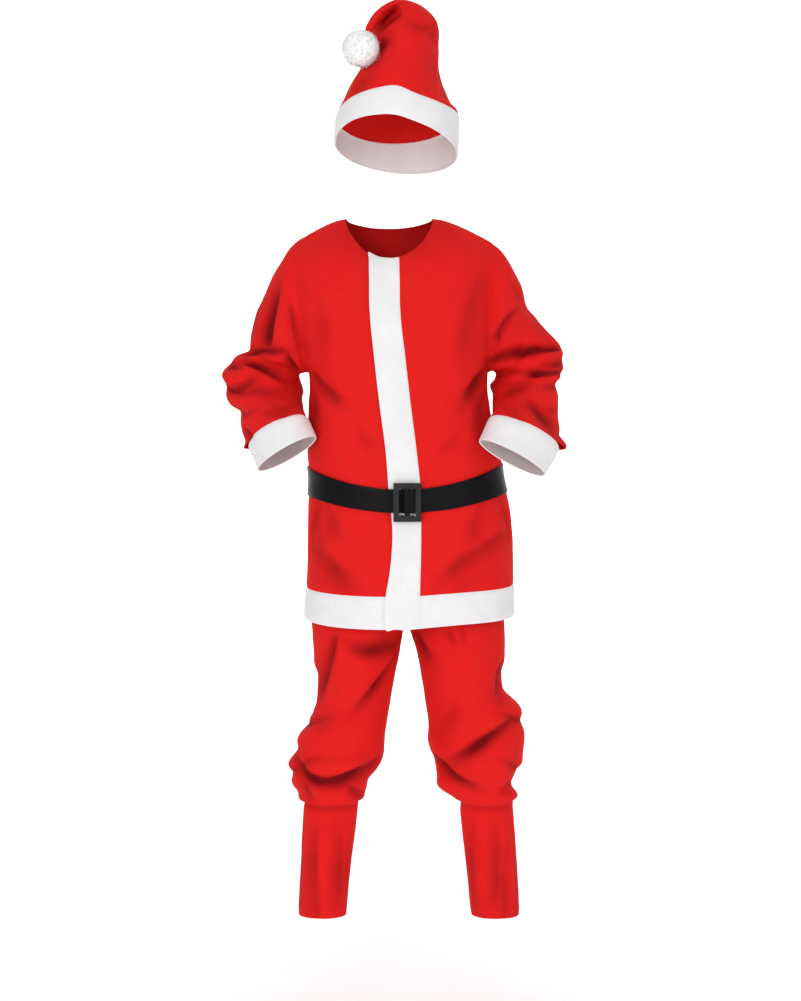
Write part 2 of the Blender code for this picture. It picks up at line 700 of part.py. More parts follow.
def add_pompom(white, collection, root):
    """A ball of three-sided tufts on a round backing, with none where the hat's tip comes in."""
    mesh = bpy.data.meshes.new("hat_pompom")
    shape = bmesh.new()
    bmesh.ops.create_icosphere(shape, subdivisions=3, radius=POMPOM_CORE * MM)
    tip = np.array(HAT_END) - np.array(POMPOM_CENTRE)
    faces = sorted(shape.faces, key=lambda f: float(np.dot(np.array(f.calc_center_median()), tip)))
    poked = bmesh.ops.poke(shape, faces=faces[:TUFTS])
    for i, vert in enumerate(poked["verts"]):
        reach = POMPOM_REACH * (0.93 + 0.07 * math.sin(2.4 * i))
        vert.co = vert.co.normalized() * reach * MM
    centre = (np.array(POMPOM_CENTRE) - ORIGIN) * MM
    bmesh.ops.translate(shape, verts=shape.verts, vec=tuple(centre))
    bmesh.ops.recalc_face_normals(shape, faces=shape.faces)
    shape.to_mesh(mesh)
    shape.free()
    mesh.shade_smooth()
    obj = bpy.data.objects.new("hat_pompom", mesh)
    collection.objects.link(obj)
    finish_object(obj, white, collection, root)


def belt_columns(height):
    """Angles and offsets round the belt, on the jacket's own columns."""
    right = right_columns(height)[:8]
    laps = [2 * math.pi + angle_at(height, BUCKLE_X + x) for x in (-9, -3.8, 4, 17)]
    angles = [angle_at(height, BUCKLE_X + 4.3)] + left_columns(height) + back_columns(height)[1:]
    angles += [2 * math.pi + turn for turn in right[1:]] + laps
    return angles, [BELT_OFFSET] * (len(angles) - 3) + [BELT_OVER] * 3


def add_belt(black, collection, root):
    """The belt strip, lying on the jacket and lapped at the buckle."""
    grid = panel(BELT_ROWS, lambda height: belt_columns(height)[0])
    across = (grid[0, :, :1] - BUCKLE_X) / np.ptp(grid[0, :, 0]) * 2
    grid[0] += (grid[0] - grid[1]) * BELT_SPREAD * across**2
    across = np.gradient(grid, axis=1)
    up = np.gradient(grid, axis=0)
    normals = np.cross(across, up)
    normals /= np.linalg.norm(normals, axis=2, keepdims=True)
    offsets = np.array([belt_columns(height)[1] for height in BELT_ROWS])
    add_wall("belt", grid + normals * offsets[:, :, None], normals, black, collection, root)


def add_box(name, size, place, collection):
    """A box in millimetres, centred on a place."""
    bpy.ops.mesh.primitive_cube_add(size=1)
    obj = bpy.context.active_object
    obj.name = name
    obj.data.name = name
    for vert in obj.data.vertices:
        vert.co = [(c * s + p - o) * MM for c, s, p, o in zip(vert.co, size, place, ORIGIN)]
    for holder in list(obj.users_collection):
        holder.objects.unlink(obj)
    collection.objects.link(obj)
    return obj


def add_boolean(obj, other, operation):
    """A Boolean with the exact solver."""
    cut = obj.modifiers.new(operation.lower(), "BOOLEAN")
    cut.object = other
    cut.operation = operation
    cut.solver = "EXACT"


def add_buckle(black, collection, cutters, root):
    """A flat moulded frame held to a low centre bar by a block at each end."""
    cloth = BUCKLE_CLOTH
    frame = (BUCKLE_X, cloth - 7.65, BUCKLE_H)
    obj = add_box("belt_buckle", BUCKLE_SIZE, frame, collection)
    window = add_box("buckle_window", BUCKLE_WINDOW, frame, cutters)
    bar = add_box("buckle_bar", (7.6, 1.8, 46), (BUCKLE_X, cloth - 2.3, BUCKLE_H), cutters)
    blocks = []
    for side in (-1, 1):
        place = (BUCKLE_X, cloth - 4.2, BUCKLE_H + side * 21)
        blocks.append(add_box("buckle_block", (7.2, 5.4, 3.6), place, cutters))
    for cutter in [window, bar, *blocks]:
        cutter.hide_render = True
        cutter.display_type = "WIRE"
        cutter.parent = root
    add_boolean(obj, window, "DIFFERENCE")
    bevel = obj.modifiers.new("bevel", "BEVEL")
    bevel.width = 0.8 * MM
    bevel.segments = 2
    bevel.limit_method = "ANGLE"
    for other in [bar, *blocks]:
        add_boolean(obj, other, "UNION")
    obj.data.shade_smooth()
    obj.data.set_sharp_from_angle(angle=math.radians(40))
    finish_object(obj, black, collection, root)


def main():
    for obj in list(bpy.data.objects):
        bpy.data.objects.remove(obj)
    collection = bpy.data.collections.new("santa_suit")
    cutters = bpy.data.collections.new("cutters")
    cutters.hide_render = True
    bpy.context.scene.collection.children.link(collection)
    bpy.context.scene.collection.children.link(cutters)
    root = bpy.data.objects.new("santa_suit_root", None)
    collection.objects.link(root)
    red = add_material("red_fleece", (0.76, 0.018, 0.022), 0.9, 0.3)
    white = add_material("white_fleece", (0.86, 0.86, 0.87), 0.92, 0.3)
    pile = add_material("white_pile", (0.9, 0.9, 0.9), 0.95, 0.4)
    vinyl = add_material("black_vinyl", (0.012, 0.012, 0.014), 0.42)
    plastic = add_material("black_plastic", (0.01, 0.01, 0.011), 0.3)
    add_jacket(red, white, collection, root)
    add_trousers(red, collection, root)
    add_hat(red, white, collection, root)
    add_pompom(pile, collection, root)
    add_belt(vinyl, collection, root)
    add_buckle(plastic, collection, cutters, root)


main()
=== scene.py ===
"""The looks of a santa suit: fleece hat, jacket and trousers, a pompom, a vinyl belt and its buckle."""

import math

import bmesh
import bpy
import numpy as np
from bpy.props import FloatProperty, IntProperty, PointerProperty, StringProperty
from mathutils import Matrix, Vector, noise
from mathutils.kdtree import KDTree


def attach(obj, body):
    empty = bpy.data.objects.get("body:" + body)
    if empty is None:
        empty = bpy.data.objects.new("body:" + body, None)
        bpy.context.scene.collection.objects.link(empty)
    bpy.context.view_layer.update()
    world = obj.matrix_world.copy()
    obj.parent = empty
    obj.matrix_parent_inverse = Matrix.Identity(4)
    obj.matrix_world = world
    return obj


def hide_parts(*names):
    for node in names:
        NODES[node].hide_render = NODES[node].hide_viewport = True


bl_info = {
    "name": "Santa suit",
    "version": (1, 0, 0),
    "blender": (4, 5, 0),
    "location": "3D View > Sidebar > Santa suit",
    "description": "Cloth, belt and pompom of a santa suit around its packed solids",
    "category": "Object",
}

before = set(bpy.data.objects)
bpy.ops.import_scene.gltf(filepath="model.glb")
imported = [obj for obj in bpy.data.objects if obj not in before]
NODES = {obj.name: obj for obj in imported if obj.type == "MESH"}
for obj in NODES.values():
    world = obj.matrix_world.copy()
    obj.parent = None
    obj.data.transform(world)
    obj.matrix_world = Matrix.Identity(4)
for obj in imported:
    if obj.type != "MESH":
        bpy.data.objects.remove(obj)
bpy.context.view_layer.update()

# Places are tabled in millimetres: x to the wearer's left, y to the back, height from the ground
MM = 0.001
ORIGIN = np.array([-10.0, 0.0, 1075.0])
CAD_WALL = 2.0

# Each cloth group: node, cut width and length in metres, cut area in square metres, how it is held, on what
JACKET = [
    ("jacket_back", 0.37, 0.53, 0.19, "draped", []),
    ("jacket_front_right", 0.21, 0.5, 0.098, "draped", ["jacket_back"]),
    ("jacket_front_left", 0.2, 0.5, 0.091, "draped", ["jacket_back"]),
    ("sleeve_right_front", 0.17, 0.29, 0.038, "draped", ["jacket_front_right"]),
    ("sleeve_right_back", 0.18, 0.29, 0.041, "draped", ["jacket_back"]),
    ("sleeve_left_front", 0.17, 0.3, 0.04, "draped", ["jacket_front_left"]),
    ("sleeve_left_back", 0.18, 0.3, 0.042, "draped", ["jacket_back"]),
    ("cuff_right", 0.26, 0.045, 0.0115, "draped", ["sleeve_right_front"]),
    ("cuff_left", 0.27, 0.055, 0.0148, "draped", ["sleeve_left_front"]),
    ("front_band", 0.05, 0.52, 0.024, "draped", ["jacket_front_left"]),
    ("hem_band_back", 0.39, 0.048, 0.0184, "draped", ["jacket_back"]),
    ("hem_band_front_right", 0.22, 0.048, 0.0102, "draped", ["jacket_front_right"]),
    ("hem_band_front_left", 0.2, 0.048, 0.0094, "draped", ["jacket_front_left"]),
]
TROUSERS = [
    ("trouser_right_front", 0.22, 0.66, 0.117, "draped", ["waistband"]),
    ("trouser_right_back", 0.22, 0.66, 0.118, "draped", ["waistband"]),
    ("trouser_left_front", 0.22, 0.66, 0.119, "draped", ["waistband"]),
    ("trouser_left_back", 0.22, 0.66, 0.119, "draped", ["waistband"]),
    ("waistband", 0.62, 0.03, 0.0186, "gathered", ["trouser_right_front"]),
]
HAT = [
    ("hat_front", 0.27, 0.2, 0.036, "draped", ["hat_band"]),
    ("hat_back", 0.28, 0.21, 0.045, "draped", ["hat_band"]),
    ("hat_band", 0.56, 0.048, 0.0262, "draped", []),
]

# Creases in millimetres: side seen, start, middle and end, depth, width, and ridge, which is negative when
# it lies below the trough. Sides -1 front and 1 back have places in x and height. Sides -2 right and 2 left
# have them in y and height, and so have -3 and 3, which are for the outer side of a sleeve
JACKET_CREASES = [
    (-1, -127, 882, -106, 858, -80, 838, 5.5, 7, 1.6),
    (-1, -133, 859, -127, 834, -133, 794, 3.5, 8, -0.8),
    (-1, 126, 892, 106, 865, 87, 838, 5.5, 8, 1.6),
    (-1, 124, 859, 116, 829, 113, 791, 3.5, 8, -0.8),
    (-1, 117, 1025, 97, 958, 87, 899, 2.8, 13, 1),
    (-1, -117, 980, -107, 937, -112, 891, 1.4, 12, 0.6),
    (-1, -137, 644, -97, 611, -63, 578, 3.3, 12, 1),
    (-1, -120, 668, -112, 636, -114, 599, 1.6, 10, 0.7),
    (-1, 160, 659, 106, 628, 57, 593, 3.3, 11, 1),
    (-1, 129, 608, 100, 593, 74, 573, 1.4, 10, 0.5),
    (-1, -106, 706, -96, 676, -80, 640, 1.6, 9, 0.8),
    (-1, 118, 706, 106, 676, 98, 636, 1.8, 9, 0.8),
    (-1, -62, 806, -50, 790, -34, 774, 1.4, 8, 0.6),
    (-1, 84, 800, 70, 782, 50, 770, 1.4, 8, 0.6),
    (1, -122, 878, -94, 850, -52, 832, 5, 7, 1.6),
    (1, 118, 886, 88, 856, 48, 838, 5, 7, 1.6),
    (1, -84, 802, -70, 776, -74, 742, 3.2, 7, 1),
    (1, -36, 812, -30, 782, -34, 742, 2.6, 7, 0.8),
    (1, 22, 800, 28, 776, 24, 742, 3, 7, 0.8),
    (1, 76, 810, 70, 778, 72, 742, 3.2, 7, 1),
    (1, -52, 704, -58, 668, -50, 600, 3, 9, 1),
    (1, 20, 704, 26, 664, 18, 606, 2.6, 9, 0.8),
    (1, 82, 704, 90, 660, 86, 600, 3, 9, 1),
    (1, -96, 1010, -60, 990, -10, 984, 2.2, 10, 0.6),
    (1, 76, 1006, 50, 992, 10, 984, 2, 10, 0.6),
    (2, -62, 704, -42, 672, -36, 628, 3, 9, 1),
    (2, 8, 706, 18, 668, 6, 600, 2.6, 10, 0.9),
    (2, 64, 702, 72, 660, 58, 606, 2.8, 9, 0.9),
    (2, -72, 806, -34, 784, 8, 792, 3.2, 8, 1.2),
    (2, 76, 812, 52, 784, 44, 744, 3, 8, 1),
    (-2, -66, 700, -50, 668, -46, 620, 2.8, 10, 1),
    (-2, -6, 706, 4, 662, -4, 598, 2.8, 9, 0.9),
    (-2, 56, 704, 66, 664, 62, 610, 2.6, 9, 0.9),
    (-2, -64, 796, -28, 778, 12, 788, 3, 8, 1.2),
    (-2, 70, 806, 50, 780, 46, 744, 3, 8, 1),
]
SLEEVE_CREASES = [
    (-1, -170, 1004, -184, 954, -190, 908, 7, 7, -2),
    (-1, -157, 982, -147, 940, -140, 905, 4, 7, 1.4),
    (-1, -240, 902, -200, 907, -149, 904, 5.5, 5, -3),
    (-1, -229, 895, -197, 884, -163, 868, 7.5, 5, -2.5),
    (-1, -164, 905, -154, 891, -144, 875, 6.5, 5, 1.5),
    (-1, -255, 861, -232, 857, -204, 875, 6.5, 5, 2.2),
    (-1, -243, 847, -206, 855, -160, 847, 3.4, 6, 1.4),
    (-1, -252, 831, -240, 822, -225, 819, 3, 5, 1.2),
    (-1, -225, 808, -214, 794, -204, 781, 4, 5, 1.2),
    (-1, -186, 839, -163, 829, -142, 837, 2.4, 7, 1),
    (-1, -197, 819, -177, 825, -154, 817, 2, 6, 0.8),
    (1, -240, 896, -196, 880, -150, 862, 6.5, 6, 2.4),
    (1, -244, 862, -208, 856, -164, 850, 4.5, 6, 1.6),
    (1, -186, 996, -190, 960, -188, 925, 3.5, 8, 1.2),
    (1, -228, 830, -206, 818, -180, 822, 3, 6, 1),
    (-1, 237, 911, 194, 909, 124, 892, 8.6, 5, -2.8),
    (-1, 243, 878, 210, 877, 174, 875, 8, 4.4, -2.4),
    (-1, 177, 878, 156, 881, 132, 874, 3.4, 5, 1.2),
    (-1, 169, 972, 143, 944, 129, 918, 4.4, 6, 1.6),
    (-1, 156, 1008, 166, 994, 174, 978, 1.8, 4, 0.8),
    (-1, 176, 845, 202, 818, 225, 789, 4.6, 8, 1.4),
    (-1, 142, 841, 157, 855, 187, 861, 3, 7, 1.2),
    (-1, 150, 829, 164, 819, 172, 802, 2, 7, 0.8),
    (1, 228, 904, 180, 894, 138, 880, 6.5, 6, 2.4),
    (1, 228, 868, 190, 858, 146, 852, 4.5, 6, 1.6),
    (1, 168, 994, 174, 955, 170, 922, 3.5, 8, 1.2),
    (1, 220, 834, 200, 822, 176, 826, 3, 6, 1),
    (3, -56, 902, -8, 888, 46, 900, 5, 6, -2),
    (3, -64, 870, -14, 860, 38, 872, 4, 6, 1.6),
    (3, -78, 838, -44, 826, -10, 842, 3, 6, 1),
    (3, 4, 1010, 14, 970, 10, 926, 2.6, 9, 1),
    (-3, -52, 898, -6, 886, 48, 896, 5, 6, -2),
    (-3, -60, 866, -16, 854, 34, 868, 4, 6, 1.6),
    (-3, -70, 834, -38, 822, -8, 838, 3, 6, 1),
    (-3, -4, 1004, 8, 964, 6, 924, 2.6, 9, 1),
]
LEG_CREASES = [
    (-1, -90, 513, -100, 472, -119, 405, 5.5, 7, -2.2),
    (-1, -74, 496, -40, 485, 0, 495, 6.5, 10, -2),
    (-1, -3, 485, -34, 438, -70, 399, 5.4, 6, 1.6),
    (-1, -152, 345, -109, 302, -20, 335, 9, 8, 3.2),
    (-1, -144, 310, -133, 287, -124, 269, 3.4, 6, 1),
    (-1, -74, 296, -61, 283, -50, 270, 4.5, 7, 1.2),
    (-1, -143, 399, -120, 388, -100, 390, 1.8, 9, 0.8),
    (-1, 20, 519, 30, 493, 47, 468, 4.4, 8, 1.2),
    (-1, 64, 523, 72, 509, 80, 498, 3.4, 5, 1),
    (-1, 83, 522, 89, 511, 89, 496, 2.4, 5, 0.8),
    (-1, 152, 476, 140, 446, 139, 416, 4, 6, 1.6),
    (-1, 166, 392, 120, 363, 64, 327, 7, 7, 2.6),
    (-1, 40, 347, 67, 315, 117, 289, 7, 6, 2.2),
    (-1, 140, 285, 154, 292, 164, 305, 2.4, 6, 1),
    (-1, 74, 422, 69, 393, 57, 368, 1.6, 10, 0.6),
    (-1, -143, 263, -100, 260, -57, 263, 2.6, 4, 1.4),
    (-1, 83, 263, 120, 260, 160, 263, 2.6, 4, 1.4),
    (1, -143, 263, -100, 260, -57, 263, 2.6, 4, 1.4),
    (1, 83, 263, 120, 260, 160, 263, 2.6, 4, 1.4),
    (-1, -120, 232, -123, 160, -117, 84, 3.2, 8, 1.2),
    (-1, -90, 240, -85, 175, -90, 110, 2.8, 9, 1),
    (-1, -68, 214, -71, 150, -67, 70, 2.6, 7, 1),
    (-1, 104, 236, 101, 165, 106, 90, 3.2, 8, 1.2),
    (-1, 134, 240, 139, 180, 135, 104, 2.8, 9, 1),
    (-1, 152, 212, 149, 150, 152, 72, 2.4, 7, 1),
    (-1, -138, 66, -100, 50, -62, 60, 3, 8, 1.4),
    (-1, 90, 58, 124, 48, 158, 66, 3, 8, 1.4),
    (-1, -132, 34, -104, 28, -74, 36, 2, 7, 0.8),
    (-1, 96, 36, 126, 28, 150, 34, 2, 7, 0.8),
    (1, -140, 398, -96, 384, -34, 396, 6, 7, 2.2),
    (1, -136, 330, -98, 310, -36, 328, 6.5, 7, 2.6),
    (1, -112, 500, -86, 470, -48, 462, 3.4, 9, 1),
    (1, 140, 404, 104, 386, 44, 398, 6, 7, 2.2),
    (1, 148, 334, 112, 312, 54, 328, 6.5, 7, 2.6),
    (1, 130, 500, 104, 470, 64, 462, 3.4, 9, 1),
    (1, -112, 230, -115, 150, -108, 80, 3, 9, 1.2),
    (1, -84, 236, -80, 170, -86, 96, 2.6, 8, 1),
    (1, 112, 230, 116, 156, 110, 84, 3, 9, 1.2),
    (1, 142, 236, 138, 170, 144, 96, 2.6, 8, 1),
    (1, -136, 60, -100, 48, -64, 62, 3, 8, 1.2),
    (1, 92, 62, 126, 50, 156, 60, 3, 8, 1.2),
    (2, -66, 402, 0, 382, 62, 396, 5, 7, 2),
    (2, -62, 332, 2, 310, 60, 330, 6, 7, 2.4),
    (2, -44, 472, -6, 452, 36, 462, 3, 9, 1),
    (2, 22, 520, 30, 476, 20, 424, 2.4, 9, 0.8),
    (2, -22, 232, -17, 160, -24, 86, 2.8, 8, 1),
    (2, 20, 238, 25, 150, 18, 80, 2.6, 9, 1),
    (-2, -64, 396, -2, 378, 64, 392, 5, 7, 2),
    (-2, -60, 336, 0, 306, 58, 326, 6, 7, 2.4),
    (-2, -36, 466, 4, 448, 44, 460, 3, 9, 1),
    (-2, 16, 522, 26, 470, 22, 420, 2.4, 9, 0.8),
    (-2, -18, 236, -12, 164, -20, 92, 2.6, 9, 1),
    (-2, 24, 230, 28, 144, 20, 76, 2.8, 8, 1),
]
HAT_CREASES = [
    (-1, -27, 1357, -19, 1370, 6, 1387, 4.2, 6, -1.4),
    (-1, -41, 1320, -31, 1336, -20, 1351, 4.5, 7, 1.6),
    (-1, 54, 1369, 30, 1364, 6, 1376, 3, 7, 1.2),
    (-1, 59, 1334, 51, 1348, 40, 1361, 2.4, 6, 1),
    (-1, 60, 1283, 53, 1306, 54, 1326, 2, 8, 0.8),
    (-1, -69, 1266, -56, 1283, -49, 1300, 1.8, 8, 0.8),
    (-1, -20, 1376, -10, 1386, -4, 1396, 2.4, 4, 1),
    (1, -32, 1330, 0, 1342, 42, 1334, 5, 7, 1.8),
    (1, -50, 1300, -10, 1306, 30, 1298, 3, 8, 1),
    (1, 54, 1300, 48, 1318, 30, 1330, 2.4, 7, 1),
    (2, -56, 1262, -26, 1292, 6, 1330, 3, 9, 1),
    (2, 58, 1266, 36, 1298, 24, 1336, 2.8, 9, 1),
    (-2, -50, 1272, -26, 1300, -10, 1328, 2.6, 9, 1),
    (-2, 60, 1264, 40, 1296, 26, 1328, 2.8, 9, 1),
]

# Places pushed out: start of the node names, place, reach, then the push as x, y and height.
# The sleeves' seam corners stick out past the cuffs, and the crown closes on the folded tip
PUSHES = [
    ("sleeve_right", (-217, -56, 776), 10, (-9, 0, -5)),
    ("sleeve_left", (225, -69, 777), 12, (12, 0, -3)),
    ("hat", (-11, -3, 1384), 9, (-5, 1, 6)),
    ("hat", (-22, -3, 1374), 9, (-9, 3, 4)),
    ("hat", (-32, -2, 1362), 9, (-8, 3, 3)),
    ("hat", (-16, -12, 1389), 8, (2, -1, -3)),
    ("hat", (-27, -24, 1378), 8, (2, -1, -2)),
]

# Nothing nearer the middle than this is creased by a row of side 2 or 3: the inner legs, the jacket's body
SIDE_STARTS = {2: 20, 3: 165}
CREASE_STEPS = 97

# Pompom, belt and buckle
POMPOM_CENTRE = (-55.6, -63, 1332.5)
HAT_END = (-48.2, -50.5, 1350.2)
BUCKLE_PLACE = (9.5, -120.05, 700)
BUCKLE_SIZE = (38.8, 3.5, 54)
BUCKLE_RAIL = 7.9
BUCKLE_BAR = (7.6, 1.8, 46)
BAR_DEPTH = -114.7
# Where the strap runs over the bar, to each side of its middle, and how far it rises there
BAR_REACH = 9
BAR_RISE = 1.6
BELT_FRONT = -114.5

# Camera: distance, height above the ground, tilt down in degrees, and the height of the frame at the suit
CAMERA_DISTANCE = 4.6
CAMERA_HEIGHT = 0.95
CAMERA_TILT = 3.16
FRAME_HEIGHT = 1.431
FRAME_TRIM = 1.0025


class SantaCloth(bpy.types.PropertyGroup):
    """Fleece of the hat, jacket and trousers"""

    red: StringProperty(name="Red", description="Colour of the red fleece as sRGB hex", default="E41F1D")
    white: StringProperty(
        name="White", description="Colour of the white fleece as sRGB hex", default="EEEDEE"
    )
    thickness: FloatProperty(
        name="Thickness",
        description="Thickness of the red cloth",
        default=1.4 * MM,
        min=0.5 * MM,
        subtype="DISTANCE",
    )
    band_thickness: FloatProperty(
        name="Band thickness",
        description="Thickness of the white bands",
        default=1.9 * MM,
        subtype="DISTANCE",
    )
    crease: FloatProperty(
        name="Crease depth", description="Multiplies every crease's depth", default=1.0, min=0.0
    )
    pucker: FloatProperty(
        name="Seam pucker",
        description="Height of the small waves beside a seam",
        default=0.5 * MM,
        subtype="DISTANCE",
    )
    levels: IntProperty(name="Subdivision", description="Subdivision of the cloth", default=3, min=1, max=3)


class SantaTrim(bpy.types.PropertyGroup):
    """Pompom, belt and buckle"""

    pile: StringProperty(name="Pile", description="Colour of the pompom's pile as sRGB hex", default="FCFCFC")
    vinyl: StringProperty(name="Vinyl", description="Colour of the belt as sRGB hex", default="0A090B")
    plastic: StringProperty(name="Plastic", description="Colour of the buckle as sRGB hex", default="171719")
    pompom_radius: FloatProperty(
        name="Pompom radius", description="Reach of the pompom's pile", default=27 * MM, subtype="DISTANCE"
    )
    strands: IntProperty(name="Strands", description="Strands in the pompom", default=3000, min=100)


def linear(colour):
    """A linear RGBA colour from an sRGB hex value."""
    parts = [int(colour[i : i + 2], 16) / 255 for i in (0, 2, 4)]
    return [*(((c + 0.055) / 1.055) ** 2.4 if c > 0.04045 else c / 12.92 for c in parts), 1.0]


def add_node(tree, kind, settings=None, **inputs):
    """A shader node with its settings; each input is a value, or the output that it is linked to."""
    node = tree.nodes.new("ShaderNode" + kind)
    for name, value in (settings or {}).items():
        setattr(node, name, value)
    for name, value in inputs.items():
        key = int(name[1:]) if name[1:].isdigit() else name.replace("_", " ")
        if isinstance(value, bpy.types.NodeSocket):
            tree.links.new(value, node.inputs[key])
        else:
            node.inputs[key].default_value = value
    return node


def new_material(name, roughness, specular):
    """An empty material: its node tree, its Principled shader and the object coordinates."""
    material = bpy.data.materials.new(name)
    material.use_nodes = True
    tree = material.node_tree
    shader = tree.nodes["Principled BSDF"]
    shader.inputs["Roughness"].default_value = roughness
    shader.inputs["Specular IOR Level"].default_value = specular
    place = add_node(tree, "TexCoord").outputs["Object"]
    return material, tree, shader, place


def brushed_fleece(name, colour, nap_and_shade_colour, nap):
    """Brushed polyester fleece: matt, with a soft short nap that scatters light at the edges."""
    material, tree, shader, place = new_material(name, 0.92, 0.12)
    shader.inputs["Sheen Weight"].default_value = 0.2
    shader.inputs["Sheen Tint"].default_value = linear(colour)
    shader.inputs["Sheen Roughness"].default_value = 0.45
    # Fibre clumps are about 1.2 mm, drawn at 2 mm so that they show
    clumps = add_node(tree, "TexNoise", Vector=place, Scale=520.0, Detail=5.0, Roughness=0.62)
    cloudy = add_node(tree, "TexNoise", Vector=place, Scale=26.0, Detail=3.0, Roughness=0.55)
    strength = add_node(tree, "MapRange", Value=cloudy.outputs["Fac"], From_Min=0.3, From_Max=0.7)
    tone = add_node(tree, "Mix", {"data_type": "RGBA"}, Factor=strength.outputs["Result"])
    tone.inputs[6].default_value = [c * 0.93 for c in linear(colour)[:3]] + [1]
    tone.inputs[7].default_value = linear(colour)
    tips = add_node(tree, "MapRange", Value=clumps.outputs["Fac"], From_Min=0.36, From_Max=0.64, To_Max=nap)
    napped = add_node(tree, "Mix", {"data_type": "RGBA"}, Factor=tips.outputs["Result"])
    napped.inputs[7].default_value = linear(nap_and_shade_colour)
    tree.links.new(tone.outputs[2], napped.inputs[6])
    # Painted shade: the crease attribute darkens the colour towards the shade colour in the creases' troughs
    depth = add_node(tree, "Attribute", {"attribute_name": "crease"})
    shaded = add_node(tree, "Mix", {"data_type": "RGBA"}, Factor=depth.outputs["Fac"])
    tree.links.new(napped.outputs[2], shaded.inputs[6])
    shaded.inputs[7].default_value = linear(nap_and_shade_colour)
    tree.links.new(shaded.outputs[2], shader.inputs["Base Color"])
    bump = add_node(tree, "Bump", Strength=0.35, Distance=0.5 * MM, Height=clumps.outputs["Fac"])
    tree.links.new(bump.outputs["Normal"], shader.inputs["Normal"])
    return material


def pile(name, colour):
    """Long acrylic pile: fine white strands, with painted shade at their roots and in the ball's hollows."""
    material, tree, shader, place = new_material(name, 0.85, 0.2)
    shader.inputs["Sheen Weight"].default_value = 0.6
    # Painted shade: the crease attribute darkens the pile a little at the strands' roots and in the ball's
    # hollows
    depth = add_node(tree, "Attribute", {"attribute_name": "crease"})
    strands = add_node(tree, "TexNoise", Vector=place, Scale=900.0, Detail=3.0)
    tone = add_node(tree, "Mix", {"data_type": "RGBA"}, Factor=depth.outputs["Fac"])
    tone.inputs[6].default_value = linear(colour)
    tone.inputs[7].default_value = [c * 0.97 for c in linear(colour)[:3]] + [1]
    tree.links.new(tone.outputs[2], shader.inputs["Base Color"])
    bump = add_node(tree, "Bump", Strength=0.12, Distance=0.4 * MM, Height=strands.outputs["Fac"])
    tree.links.new(bump.outputs["Normal"], shader.inputs["Normal"])
    return material


def grained_vinyl(name, colour):
    """Coated vinyl: an embossed pebble grain, satin, with fine stretch lines along the strap."""
    material, tree, shader, place = new_material(name, 0.45, 0.1)
    # Grain cells are 0.6 mm, drawn at 1 mm
    cells = add_node(tree, "TexVoronoi", {"feature": "SMOOTH_F1"}, Vector=place, Scale=950.0)
    flow = add_node(tree, "Mapping", Vector=place, Scale=(60.0, 60.0, 420.0))
    lines = add_node(tree, "TexNoise", Vector=flow.outputs["Vector"], Scale=1.0, Detail=4.0)
    height = add_node(tree, "Math", {"operation": "MULTIPLY_ADD"}, i0=cells.outputs["Distance"], i1=0.6)
    tree.links.new(lines.outputs["Fac"], height.inputs[2])
    bump = add_node(tree, "Bump", Strength=0.3, Distance=0.3 * MM, Height=height.outputs["Value"])
    tree.links.new(bump.outputs["Normal"], shader.inputs["Normal"])
    worn = add_node(tree, "MapRange", Value=lines.outputs["Fac"], From_Min=0.35, From_Max=0.75)
    tone = add_node(tree, "Mix", {"data_type": "RGBA"}, Factor=worn.outputs["Result"])
    tone.inputs[6].default_value = linear(colour)
    tone.inputs[7].default_value = [c * 1.7 for c in linear(colour)[:3]] + [1]
    tree.links.new(tone.outputs[2], shader.inputs["Base Color"])
    rough = add_node(tree, "MapRange", Value=lines.outputs["Fac"], To_Min=0.32, To_Max=0.5)
    tree.links.new(rough.outputs["Result"], shader.inputs["Roughness"])
    return material


def moulded_plastic(name, colour):
    """Injection-moulded ABS: satin, with the faint texture of its mould."""
    material, tree, shader, place = new_material(name, 0.36, 0.3)
    texture = add_node(tree, "TexNoise", Vector=place, Scale=1400.0, Detail=3.0)
    cloudy = add_node(tree, "TexNoise", Vector=place, Scale=90.0, Detail=2.0)
    tone = add_node(tree, "Mix", {"data_type": "RGBA"}, Factor=cloudy.outputs["Fac"])
    tone.inputs[6].default_value = linear(colour)
    tone.inputs[7].default_value = [c * 1.25 for c in linear(colour)[:3]] + [1]
    tree.links.new(tone.outputs[2], shader.inputs["Base Color"])
    bump = add_node(tree, "Bump", Strength=0.12, Distance=0.15 * MM, Height=texture.outputs["Fac"])
    tree.links.new(bump.outputs["Normal"], shader.inputs["Normal"])
    return material


def deselect_all():
    """Object mode with nothing selected or active."""
    if bpy.context.object and bpy.context.object.mode != "OBJECT":
        bpy.ops.object.mode_set(mode="OBJECT")
    for obj in bpy.context.selected_objects:
        obj.select_set(False)
    bpy.context.view_layer.objects.active = None


def activate(obj):
    """Makes an object the only selected one."""
    deselect_all()
    obj.select_set(True)
    bpy.context.view_layer.objects.active = obj


def new_object(name, points, faces):
    """A mesh object at the origin from points in metres."""
    mesh = bpy.data.meshes.new(name)
    mesh.from_pydata([tuple(p) for p in points], [], [tuple(int(i) for i in f) for f in faces])
    obj = bpy.data.objects.new(name, mesh)
    bpy.context.scene.collection.objects.link(obj)
    return obj


def add_block(name, size, place):
    """A cube of this size at a tabled place, its object at the origin."""
    deselect_all()
    bpy.ops.mesh.primitive_cube_add(size=1, location=to_metres(place), scale=[s * MM for s in size])
    obj = bpy.context.active_object
    obj.name = name
    bpy.ops.object.transform_apply(location=True, rotation=True, scale=True)
    return obj


def select_faces(obj, wanted):
    """In edit mode, selects the faces that are wanted and no others."""
    shape = bmesh.from_edit_mesh(obj.data)
    for face in shape.faces:
        face.select = False
    for face in shape.faces:
        if wanted(face):
            face.select = True
    bmesh.update_edit_mesh(obj.data)


